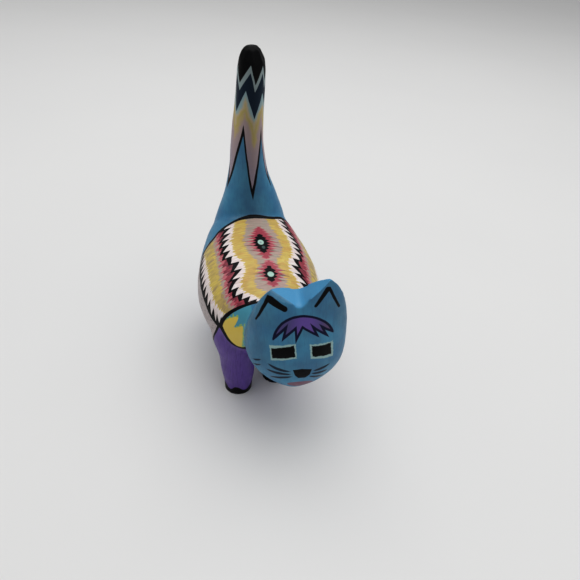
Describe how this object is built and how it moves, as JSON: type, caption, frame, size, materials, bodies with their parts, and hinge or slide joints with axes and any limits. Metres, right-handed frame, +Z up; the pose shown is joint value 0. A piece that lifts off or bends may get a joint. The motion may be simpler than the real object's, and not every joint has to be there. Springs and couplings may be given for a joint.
{
  "type": "cat figurine",
  "caption": "Carved and painted wooden cat standing on short legs with its tail straight up, a broad head and a patterned back.",
  "frame": {"origin": "centre of the footprint box, on the surface that the feet stand on", "axes": "+Z up along the tail, -Y the way the cat faces, +X the cat's left side"},
  "size_m": [0.0938, 0.178, 0.2309],
  "materials": {
    "painted_wood": "hand-brushed satin acrylic paint on carved wood"
  },
  "bodies": {
    "root": {"carved_cat": "painted_wood"}
  },
  "joints": []
}
